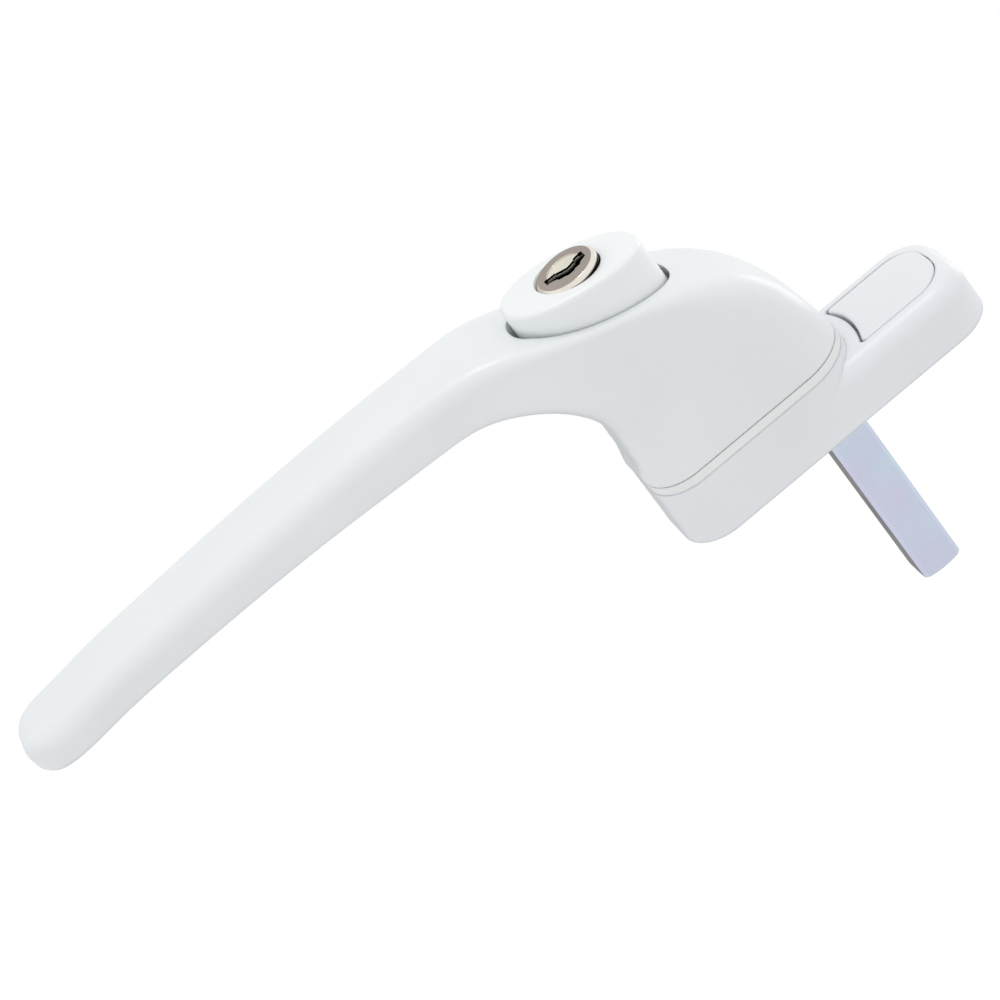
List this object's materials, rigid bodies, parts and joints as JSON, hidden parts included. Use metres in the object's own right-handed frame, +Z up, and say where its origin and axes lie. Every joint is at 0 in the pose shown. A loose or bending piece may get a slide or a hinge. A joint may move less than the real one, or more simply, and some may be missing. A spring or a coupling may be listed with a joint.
{
  "type": "window handle",
  "caption": "Keyed slimline window handle: narrow oval-ended base with a clip-in screw cap, drop-down lever, sprung oval push button with key lock, and a square spindle.",
  "frame": {"origin": "spindle axis where it leaves the flat mounting face", "axes": "+Y along the spindle into the sash, -Y towards the room, +Z up the base towards the screw cap (the lever hangs towards -Z), X across the handle"},
  "size_m": [0.0202, 0.0855, 0.1522],
  "materials": {
    "lever_white": "satin white powder coat on die-cast zinc",
    "base_white": "satin white powder coat on die-cast zinc",
    "button_white": "smooth white moulding",
    "cap_white": "satin white moulding",
    "bearing_ivory": "ivory nylon",
    "zinc_passivate": "bright zinc plate with a faint lilac passivate",
    "plug_nickel": "satin nickel",
    "insert_nickel": "polished nickel",
    "brass": "plain brass",
    "spring_steel": "drawn spring wire",
    "steel": "plain ground steel",
    "phosphated": "dark phosphate",
    "zinc_raw": "as-cast zinc"
  },
  "bodies": {
    "base": {"base_plate": "base_white", "bearing_plate": "bearing_ivory"},
    "cap": {"cover_cap": "cap_white"},
    "handle": {"lever_handle": "lever_white", "spindle": "zinc_passivate", "spindle_roll_pin": "spring_steel", "thrust_washer": "steel", "retaining_circlip": "phosphated", "chamber_cover": "steel", "detent_spring": "spring_steel", "button_springs": "spring_steel"},
    "ball": {"detent_ball": "steel"},
    "button": {"push_button": "button_white", "button_retaining_ring": "phosphated", "locking_pin": "steel", "lock_sleeve": "brass", "sleeve_drive_pin": "steel"},
    "plug": {"key_plug": "plug_nickel", "keyway_face_insert": "insert_nickel", "lock_cam": "zinc_raw"},
    "bolt": {"lock_bolt": "steel"},
    "wafer_1": {"wafer_1": "brass"},
    "wafer_2": {"wafer_2": "brass"},
    "wafer_3": {"wafer_3": "brass"},
    "wafer_4": {"wafer_4": "brass"}
  },
  "joints": [
    {"name": "handle_turn", "type": "hinge", "parent": "base", "child": "handle", "pos_m": [0, 0, 0], "axis": [0, 1, 0], "range_deg": [-90, 90]},
    {"name": "button_press", "type": "slide", "parent": "handle", "child": "button", "axis": [0, 1, 0], "range_m": [0, 0.0045], "stiffness_N_per_m": 400, "springref_m": -0.002, "deforming": ["button_springs"]},
    {"name": "key_turn", "type": "hinge", "parent": "button", "child": "plug", "pos_m": [0, 0, -0.0188], "axis": [0, 1, 0], "range_deg": [0, 90]},
    {"name": "bolt_throw", "type": "slide", "parent": "button", "child": "bolt", "axis": [0, 0, -1], "range_m": [0, 0.00163]},
    {"name": "ball_drop", "type": "slide", "parent": "handle", "child": "ball", "axis": [0, 1, 0], "range_m": [0, 0.0003], "stiffness_N_per_m": 4, "springref_m": 0.001},
    {"name": "cap_lift", "type": "slide", "parent": "base", "child": "cap", "axis": [0, -1, 0], "range_m": [0, 0.0024]},
    {"name": "wafer_1_slide", "type": "slide", "parent": "plug", "child": "wafer_1", "axis": [0, 0, 1], "range_m": [0, 0.0005]},
    {"name": "wafer_2_slide", "type": "slide", "parent": "plug", "child": "wafer_2", "axis": [0, 0, -1], "range_m": [0, 0.0005]},
    {"name": "wafer_3_slide", "type": "slide", "parent": "plug", "child": "wafer_3", "axis": [0, 0, 1], "range_m": [0, 0.0005]},
    {"name": "wafer_4_slide", "type": "slide", "parent": "plug", "child": "wafer_4", "axis": [0, 0, -1], "range_m": [0, 0.0005]}
  ],
  "couplings": [
    {"joint": "bolt_throw", "follows": "key_turn", "m_per_rad": 0.0010351}
  ]
}
